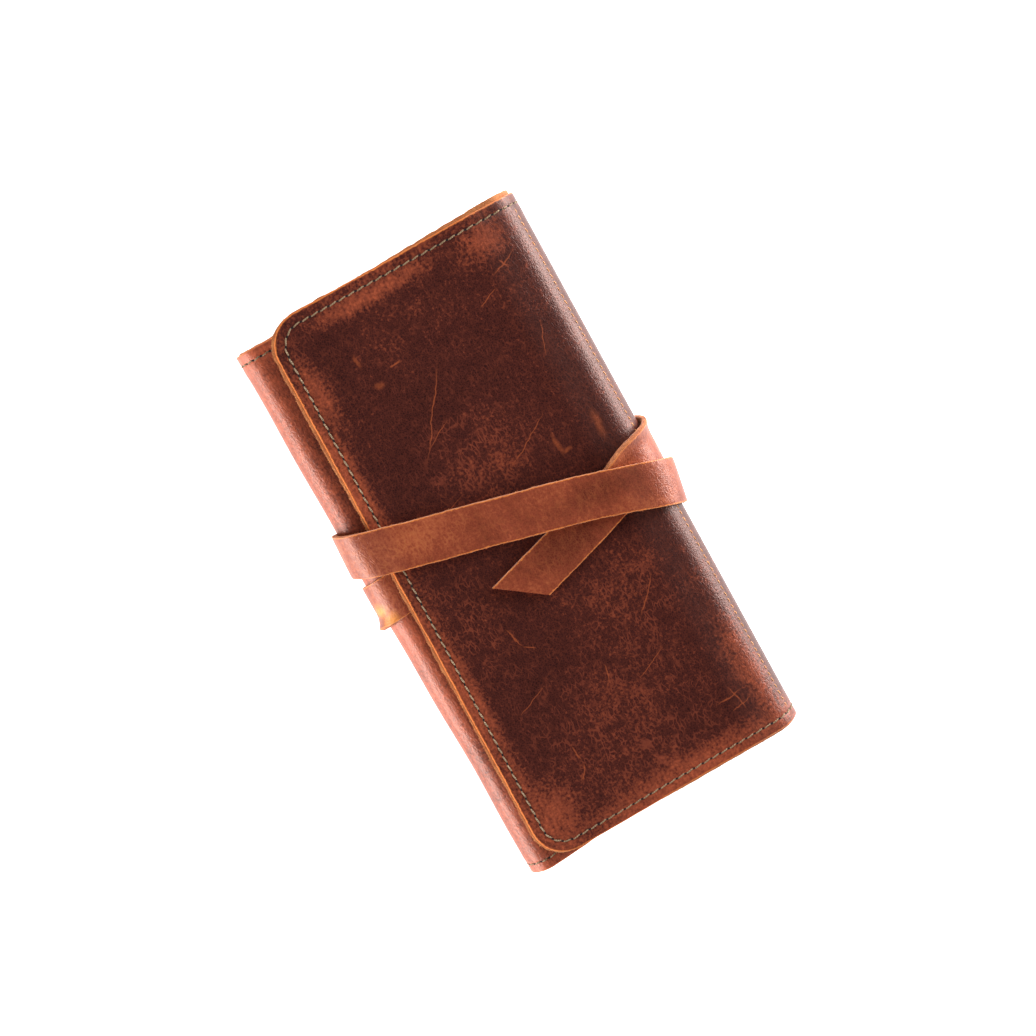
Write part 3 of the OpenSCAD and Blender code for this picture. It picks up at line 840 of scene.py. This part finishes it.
def make_edge_stitching():
    for name, s_from, s_to, step, where in STRETCHES:
        node = {"left_upper": ["left_spine_edge_stitching"], "back": ["back_edge_stitching"],
                "right_upper": ["right_spine_edge_stitching"]}.get(name, [])
        s = np.linspace(s_from, s_to, math.ceil((s_to - s_from) / 0.5))
        rows = [(s, end_y(s) - STITCH_IN), (s, foot_y(s) + STITCH_IN)]
        deep = INSIDE - POCKET_T if name == "right_upper" else INSIDE
        courses = [case_course(*row, h) for row in rows for h in (GROOVE, deep)]
        sew(f"{name}_edge_thread", courses, edge_thread, where, "edge_thread", node)
    top, low = LEAF_HIGH[1] - STITCH_IN, foot_y(np.array([STITCH_IN, S_LEFT])) + STITCH_IN
    plan = corners([(S_LEFT, top), (STITCH_IN, top), (STITCH_IN, low[0]), (S_LEFT, low[1])])
    courses = [case_course(plan[:, 0], plan[:, 1], h) for h in (GROOVE, INSIDE)]
    sew("leaf_edge_thread", courses, edge_thread, "leaf", "edge_thread", ["leaf_edge_stitching"])
    plan = flap_course(STITCH_IN)
    wave = lift(plan[:, 0], plan[:, 1])
    up = np.tile([0.0, 0, 1], (len(plan), 1))
    outside = np.column_stack([plan, FLAP_TOP + GROOVE + wave])
    inside = np.column_stack([plan, FLAP_TOP + flap_inside(plan[:, 0]) + wave])
    sew("flap_edge_thread", [(outside, up), (inside, -up)], edge_thread, "flap", "edge_thread",
        ["flap_edge_stitching"])


def make_seam():
    s = S_RIGHT + math.radians(SEAM_ANGLE + 90) * RIGHT_R
    y = np.arange(FLAP_LOW[1] + 6, FLAP_HIGH[1] - 6, 1.0)
    course = case_course(np.full_like(y, s), y, -0.05)
    sew("spine_seam_thread", [course], seam_thread, "right_upper", "seam_thread", ["spine_seam_stitching"],
        pitch=SEAM_STITCH, radius=0.25, holes=False)


# The strap, which goes round the case twice

# The middle line of the strap: distance along its turn, y, and slope.
FIRST_LINE = ((0, 12.9, -0.124), (A[1], 7.1, -0.124), (A[2], 3.4, -0.111), (A[3], -8.8, -0.111),
              (A_RIGHT, -10.4, 0.1), (A[4], -3.4, 0.36), (A[4] + 23, 4.2, 0.3), (A[4] + 56, 13.0, 0.25),
              (A[4] + 86, 20.5, 0.25), (A[7], 26.3, 0.27), (A[8], 30.7, 0.04))
SECOND_LINE = ((0, 30.7, 0.04), (B[2], 27.6, -0.14), (B[3], 12.6, -0.14), (B_RIGHT, 10.7, -0.3),
               (B[4], 4.7, -0.52), (B[4] + 11.4, -0.4, -0.34), (TIP, -16.5, -0.29))


def line_at(line, s):
    """y and slope on a smooth line through points with given slopes."""
    knots = np.array(line)
    i = np.clip(np.searchsorted(knots[:, 0], s, side="right") - 1, 0, len(knots) - 2)
    (s0, y0, m0), (s1, y1, m1) = (np.moveaxis(knots[k], -1, 0) for k in (i, i + 1))
    gap = s1 - s0
    t = (s - s0) / gap
    y = (2 * t**3 - 3 * t**2 + 1) * y0 + (t**3 - 2 * t**2 + t) * gap * m0
    y = y + (3 * t**2 - 2 * t**3) * y1 + (t**3 - t**2) * gap * m1
    slope = (6 * t**2 - 6 * t) * (y0 - y1) / gap + (3 * t**2 - 4 * t + 1) * m0 + (3 * t**2 - 2 * t) * m1
    return y, slope


# The strap's cross-section, as shares of half its width and of its thickness.
ACROSS = (-0.985, -0.93, -0.75, -0.5, -0.25, 0, 0.25, 0.5, 0.75, 0.93, 0.985)
SECTION = [(v, 0.96 if abs(v) > 0.95 else 1.0) for v in ACROSS] + [(1, 0.72), (1, 0.5), (1, 0.28)]
SECTION += [(-v, 0.04 if abs(v) > 0.95 else 0.0) for v in ACROSS] + [(-1, 0.28), (-1, 0.5), (-1, 0.72)]


def curl(v):
    """How an edge of the strap turns up: nothing at the middle, 1 at the edge."""
    return np.clip((v - 0.3) / 0.7, 0, None) ** 2


def first_stand_off(s, v):
    """The first turn stands off the right spine, more along its upper edge, and hugs the left one."""
    right = hump(s, A_RIGHT, 30) * (0.35 + 1.7 * v)
    left = hump(s, A[8], 14) * (-0.45 - 0.6 * v)
    return right + left + 2.8 * hump(s, A[1] + 12, 11) * curl(-v)


def second_stand_off(s, v):
    """The second turn curls up from the right spine, where the tail swings round."""
    right = hump(s, B[4] - 6, 22) * (0.5 + 0.5 * v)
    left = hump(s, B[0], 12) * (-0.45 - 0.6 * v)
    return right + left + 3.2 * hump(s, B[4] - 2, 26) * curl(v)


def ribbon(name, track, line, stand_off, s_from, s_to, where, nodes=(), tip=0.0, seed=1, fuzz=0.0):
    """A length of the strap. tip is how far its upper edge runs on past its lower one at the end."""
    rows = math.ceil((s_to - s_from) / 0.8) + 1
    section = np.array(SECTION)
    v, h = section[None, :, 0], section[None, :, 1] * STRAP_T
    middle = np.linspace(s_from, s_to, rows)[:, None]
    if tip:
        middle = middle + smooth((middle - s_to + 20) / 20) * tip / 2 * v
    y_mid, slope = line_at(line, middle)
    size = np.sqrt(1 + slope**2)
    rough = np.where(v > 0, ragged(middle, seed, 0.26), ragged(middle, seed + 7, 0.26))
    rise = (stand_off(middle, v + 0.02) - stand_off(middle, v - 0.02)) / (0.04 * STRAP_HALF)
    lean = rise / np.sqrt(1 + rise**2)
    reach = v * STRAP_HALF + np.sign(v) * rough * smooth((np.abs(v) - 0.9) / 0.08) - (h - STRAP_T / 2) * lean
    s = middle - reach * slope / size
    y = y_mid + reach / size
    crown = 0.08 * (1 - v**2) * (h > STRAP_T / 2)
    points = track.place(s, y, h + crown + stand_off(s, v))
    high = points[..., 2] > FLAP_TOP - 2
    fade = smooth((points[..., 0] + 66) / 9)
    points[..., 2] += np.where(high, lift(points[..., 0], points[..., 1]) * fade, 0)
    points[..., 2] = np.maximum(points[..., 2], 0)
    n, m = points.shape[:2]
    faces, slots = [], []
    for i in range(n - 1):
        for j in range(m):
            k = (j + 1) % m
            faces.append((i * m + j, (i + 1) * m + j, (i + 1) * m + k, i * m + k))
            edge_face = abs(section[j, 0]) > 0.98 and abs(section[k, 0]) > 0.98 and section[j, 0] * section[k, 0] > 0
            slots.append(1 if edge_face else (0 if section[j, 1] > 0.9 else 2))
    faces += [tuple(range(m)), tuple(range((n - 1) * m, n * m))]
    slots += [1, 1]
    flat = np.stack(np.broadcast_arrays(s + 300 * seed, y, h), -1).reshape(-1, 3)
    edge = np.broadcast_to((1 - np.abs(v)) * STRAP_HALF, (n, m)).ravel()
    made = new_object(name, points.reshape(-1, 3), faces, [strap_leather, strap_edge, suede], slots, flat, edge,
                      crisp=60)
    attach(made, where, "strap_leather", *nodes)
    if fuzz:
        roots, ways = [], []
        for j in range(m):
            if abs(section[j, 0]) == 1:
                out = points[:, j] - points[:, m // 4]
                roots.append(points[:, j])
                ways.append(out / np.linalg.norm(out, axis=1)[:, None])
        tufts(name + "_fibres", np.vstack(roots), np.vstack(ways), fuzz, strap_edge, where, "strap_leather", seed)
    return made


def tufts(name, roots, ways, longest, material, where, slot, seed):
    """Short fibres that stand out of a cut edge."""
    rng = np.random.default_rng(seed)
    points, faces = [], []
    for root, way in zip(roots, ways):
        if rng.random() > 0.5:
            continue
        way = way + rng.normal(0, 0.55, 3)
        way /= np.linalg.norm(way)
        side = np.cross(way, rng.normal(0, 1, 3))
        side /= np.linalg.norm(side)
        other = np.cross(way, side)
        base, length = 0.1 + 0.1 * rng.random(), longest * (0.3 + 0.7 * rng.random() ** 2)
        start = root + rng.normal(0, 0.12, 3) - way * 0.1
        first = len(points)
        for a in (0, 2.1, 4.2):
            points.append(start + base * (math.cos(a) * side + math.sin(a) * other))
        points.append(start + way * length)
        faces += [(first, first + 1, first + 2), (first, first + 1, first + 3), (first + 1, first + 2, first + 3),
                  (first + 2, first, first + 3)]
    made = new_object(name, points, faces, [material], flat=points)
    return attach(made, where, slot)


def make_strap():
    lengths = (
        ("strap_root_length", 0, A[1] - 2, "leaf", ["strap_root"], 0),
        ("strap_first_left_over", A[1] - 2, A_LEFT, "left_upper", ["strap_first_turn_left_bend"], 0),
        ("strap_first_left_under", A_LEFT, A[2] + 2, "left_lower", [], 0),
        ("strap_first_under", A[2] + 2, A[3] - 2, "back", ["strap_first_turn_under"], 0),
        ("strap_first_right_under", A[3] - 2, A_RIGHT, "right_lower", [], 0.5),
        ("strap_first_right_over", A_RIGHT, A[4] + 4, "right_upper", ["strap_first_turn_right_bend"], 0.5),
        ("strap_front_length", A[4] + 4, A[8], "flap", ["strap_front_pass"], 0.6),
    )
    for name, s_from, s_to, where, nodes, fuzz in lengths:
        ribbon(name, first_turn, FIRST_LINE, first_stand_off, s_from, s_to, where, nodes, seed=1, fuzz=fuzz)
    lengths = (
        ("strap_second_left", 0, B[2] + 3, "left_lower", ["strap_second_turn_left_bend"], 0, 0),
        ("strap_second_under", B[2] + 3, B[3] - 3, "back", ["strap_second_turn_under"], 0, 0),
        ("strap_second_right_under", B[3] - 3, B_RIGHT, "right_lower", [], 0, 0.5),
        ("strap_second_right_over", B_RIGHT, B[4] + 7, "right_upper", ["strap_second_turn_right_bend"], 0, 0.5),
        ("strap_tail_length", B[4] + 7, FOLD - 8, "flap", ["strap_tail"], 0, 0.25),
        ("strap_tip_length", FOLD - 8, TIP, "tip", ["strap_tail_tip"], 14, 0.25),
    )
    for name, s_from, s_to, where, nodes, tip, fuzz in lengths:
        ribbon(name, second_turn, SECOND_LINE, second_stand_off, s_from, s_to, where, nodes, tip, seed=2, fuzz=fuzz)


def make_anchor_stitching():
    """A sewn square that holds the strap's root to the leaf."""
    level = LEAF_TOP + FIT + STRAP_T + 0.02
    plan = corners([(-13, 6.2), (-13, 18.8), (-25, 17.3), (-25, 4.7), (-13, 6.2)])
    course = np.column_stack([plan, np.full(len(plan), level)])
    up = np.tile([0.0, 0, 1], (len(course), 1))
    sew("strap_anchor_thread", [(course, up)], edge_thread, "leaf", "edge_thread", ["strap_anchor_stitching"],
        radius=0.25)


# Pockets

BACK_POCKET = box_mm("back_brush_pocket")
LEAF_POCKET = box_mm("leaf_brush_pocket")
SLIP_LOW, SLIP_HIGH = box_mm("flap_slip_pocket")
SLIP_ANGLE = 30


def slot_walls(low, high, slots):
    return [low[0] + 0.8 + (high[0] - low[0] - 1.6) * i / slots for i in range(slots + 1)]


def arches(x, y, walls, low, high):
    """How far a pocket's cover stands off its floor: an arch over each slot, sewn flat at the blind end."""
    width = walls[1] - walls[0]
    share = np.abs(np.sin(np.pi * np.clip((x - walls[0]) / width, 0, len(walls) - 1)))
    flare = smooth((y - low[1] - 3) / 22)
    mouth = 1 - 0.06 * smooth((y - high[1] + 10) / 10)
    return SLOT_H * share**0.62 * (0.04 + 0.96 * flare) * mouth


def pocket(name, corners_mm, slots, floor, up, where, node):
    low, high = corners_mm
    walls = slot_walls(low, high, slots)
    x = np.linspace(low[0], high[0], 18 * slots + 1)
    y = np.concatenate([low[1] + np.array([0, 0.4]), np.linspace(low[1] + 2, high[1] - 1.5, 56),
                        high[1] - np.array([0.4, 0])])
    gx, gy = np.meshgrid(x, y, indexing="ij")
    rise = arches(gx, gy, walls, low, high)
    outer = np.stack([gx, gy, floor + up * (rise + POCKET_T)], -1)
    inner = np.stack([gx, gy, floor + up * (rise + 0.02)], -1)
    faces, slots_used = close(*gx.shape, ("foot", "end", "start", "stop"))
    edge = np.minimum(np.minimum(gy - low[1], high[1] - gy), 30).ravel()
    flat = np.stack([gx + 500, gy, gx * 0], -1).reshape(-1, 3)
    made = new_object(name, np.concatenate([outer.reshape(-1, 3), inner.reshape(-1, 3)]), faces,
                      [pocket_leather, suede, raw_edge], slots_used, np.concatenate([flat, flat]),
                      np.concatenate([edge, edge]))
    attach(made, where, "pocket_leather", node)
    return walls


def make_pockets():
    walls = pocket("back_pocket_cover", BACK_POCKET, 5, CASE_Z + DEPTH, 1, "back", "back_brush_pocket")
    sew_pocket("back_pocket_thread", walls, BACK_POCKET, CASE_Z + DEPTH, CASE_Z, 1, "back", "back_pocket_stitching")
    walls = pocket("leaf_pocket_cover", LEAF_POCKET, 2, LEAF_TOP - DEPTH, -1, "leaf", "leaf_brush_pocket")
    sew_pocket("leaf_pocket_thread", walls[:2], LEAF_POCKET, LEAF_TOP - DEPTH, LEAF_TOP, -1, "leaf",
               "leaf_pocket_stitching")
    rough = ("start", "stop", "foot", "end")
    y = np.linspace(SLIP_LOW[1], SLIP_HIGH[1], 60)
    s = flap_s(np.linspace(RIGHT_X, SLIP_LOW[0], 30))
    slab("slip_pocket_sheet", s, y, rough[1:], "flap", "flap_slip_pocket")
    s = np.linspace(S_RIGHT + math.radians(90 + SLIP_ANGLE) * RIGHT_R, S_FLAP, 30)
    slab("slip_pocket_bend", s, y, (rough[0], *rough[2:]), "right_upper", "right_spine_pocket_edge")


def slab(name, s, y, raw, where, node):
    """A flat sheet against the lining of the flap or the right spine."""
    gs, gy = np.meshgrid(s, y, indexing="ij")
    x = RIGHT_X - (gs - S_FLAP)
    wave = np.where(gs > S_FLAP, lift(x, gy), 0)
    outer = case.place(gs, gy, wave - DEPTH - 0.02)
    inner = case.place(gs, gy, wave - DEPTH - POCKET_T)
    faces, slots = close(*gs.shape, raw)
    slots = [1 - k if k < 2 else k for k in slots]
    flat = np.stack([gs, gy, gs * 0 - DEPTH], -1).reshape(-1, 3)
    edge = np.minimum(np.minimum(gy - y[0], y[-1] - gy), np.abs(x - SLIP_LOW[0])).ravel()
    made = new_object(name, np.concatenate([outer.reshape(-1, 3), inner.reshape(-1, 3)]), faces,
                      [pocket_leather, suede, raw_edge], slots, np.concatenate([flat, flat]),
                      np.concatenate([edge, edge]))
    attach(made, where, "pocket_leather", node)


def sew_pocket(name, walls, corners_mm, floor, outside, up, where, node):
    """Rows beside the slots, seen on the pocket's cover and on the outer leather."""
    low, high = corners_mm
    y = np.arange(low[1] + 2, high[1] - 2, 1.0)
    courses = []
    for x in walls:
        for level, side in ((floor + up * (POCKET_T + 0.05), up), (outside + up * 0.2, -up)):
            line = np.column_stack([np.full_like(y, x), y, np.full_like(y, level)])
            courses.append((line, np.tile([0.0, 0, side], (len(y), 1))))
    sew(name, courses, edge_thread, where, "edge_thread", [node])


def flap_fibres():
    """Loose fibres along the raw edge of the flap's lining."""
    base = flap_course(0)
    along = np.concatenate([[0], np.cumsum(np.linalg.norm(np.diff(base, axis=0), axis=1))])
    rim = flap_course(0, flap_fringe(base, along))
    out = rim - flap_course(3)
    out = np.column_stack([out, np.zeros(len(out))])
    out /= np.linalg.norm(out, axis=1)[:, None]
    wave = lift(rim[:, 0], rim[:, 1])
    layers = [FLAP_TOP - SHELL_T - 0.2, FLAP_TOP - SHELL_T - 0.6, FLAP_TOP - SHELL_T - 1.0]
    roots = np.vstack([np.column_stack([rim, level + wave]) for level in layers])
    tufts("flap_edge_fibres", roots, np.vstack([out] * 3), 0.8, raw_edge, "flap", "lining_leather", 5)


make_edge_stitching()
make_seam()
make_strap()
make_anchor_stitching()
make_pockets()
flap_fibres()



# Camera, light and floor

def make_camera():
    """Looks down on the case, a little from its +Y and -X sides."""
    centre = Vector((0, 0, 15))
    lean = Vector((math.tan(math.radians(-2.46)), math.tan(math.radians(7.94)), 1)).normalized()
    place = centre + lean * 731
    turned = math.radians(29.21)
    up_hint = Vector((math.sin(turned), math.cos(turned), 0))
    right = (-lean).cross(up_hint).normalized()
    up = right.cross(-lean)
    ahead = (centre - 1.84 * right + 8.8 * up - place).normalized()
    right = ahead.cross(up_hint).normalized()
    up = right.cross(ahead)
    data = bpy.data.cameras.new("camera")
    data.sensor_width = 36
    data.lens = 60.78
    data.clip_start = 0.01
    camera = bpy.data.objects.new("camera", data)
    bpy.context.scene.collection.objects.link(camera)
    turn = Matrix((right, up, -ahead)).transposed().to_4x4()
    camera.matrix_world = Matrix.Translation(place * MM) @ turn
    bpy.context.scene.camera = camera


def soft_box(name, place, size, power, colour=(1, 1, 1)):
    data = bpy.data.lights.new(name, "AREA")
    data.shape = "RECTANGLE"
    data.size, data.size_y = size
    data.energy = power
    data.color = colour
    light = bpy.data.objects.new(name, data)
    bpy.context.scene.collection.objects.link(light)
    light.location = place
    light.rotation_euler = (Vector((0, 0, 0.015)) - Vector(place)).to_track_quat("-Z", "Y").to_euler()


def make_stage():
    floor = bpy.data.objects.new("floor", bpy.data.meshes.new("floor"))
    size = 3.0
    floor.data.from_pydata([(-size, -size, 0), (size, -size, 0), (size, size, 0), (-size, size, 0)], [],
                           [(0, 1, 2, 3)])
    bpy.context.scene.collection.objects.link(floor)
    paint = bpy.data.materials.new("pale_floor")
    paint.use_nodes = True
    surface = paint.node_tree.nodes["Principled BSDF"]
    surface.inputs["Base Color"].default_value = (0.93, 0.93, 0.93, 1)
    surface.inputs["Roughness"].default_value = 1.0
    surface.inputs["Specular IOR Level"].default_value = 0.0
    surface.inputs["Emission Color"].default_value = (1, 1, 1, 1)
    surface.inputs["Emission Strength"].default_value = 1.2
    floor.data.materials.append(paint)

    # The sky is bright near the horizon and dark overhead, like a room with lights at its sides.
    world = bpy.data.worlds.new("studio")
    bpy.context.scene.world = world
    world.use_nodes = True
    tree = world.node_tree
    tree.nodes.clear()
    way = tree.nodes.new("ShaderNodeTexCoord")
    split = tree.nodes.new("ShaderNodeSeparateXYZ")
    tree.links.new(way.outputs["Generated"], split.inputs[0])
    ramp = tree.nodes.new("ShaderNodeValToRGB")
    tree.links.new(split.outputs["Z"], ramp.inputs[0])
    stops = ramp.color_ramp.elements
    stops[0].position, stops[0].color = 0.12, (1, 1, 1, 1)
    stops[1].position, stops[1].color = 0.7, (0.08, 0.08, 0.08, 1)
    sky = tree.nodes.new("ShaderNodeBackground")
    sky.inputs["Strength"].default_value = 1.0
    tree.links.new(ramp.outputs[0], sky.inputs["Color"])
    out = tree.nodes.new("ShaderNodeOutputWorld")
    tree.links.new(sky.outputs[0], out.inputs[0])

    soft_box("left_light", (-1.0, -0.2, 0.23), (1.1, 0.4), 21)
    soft_box("right_light", (1.0, 0.2, 0.22), (1.2, 0.4), 27)
    soft_box("far_light", (0.35, 0.75, 0.75), (0.7, 0.5), 3)
    bpy.context.scene.view_settings.view_transform = "Standard"


make_camera()
make_stage()
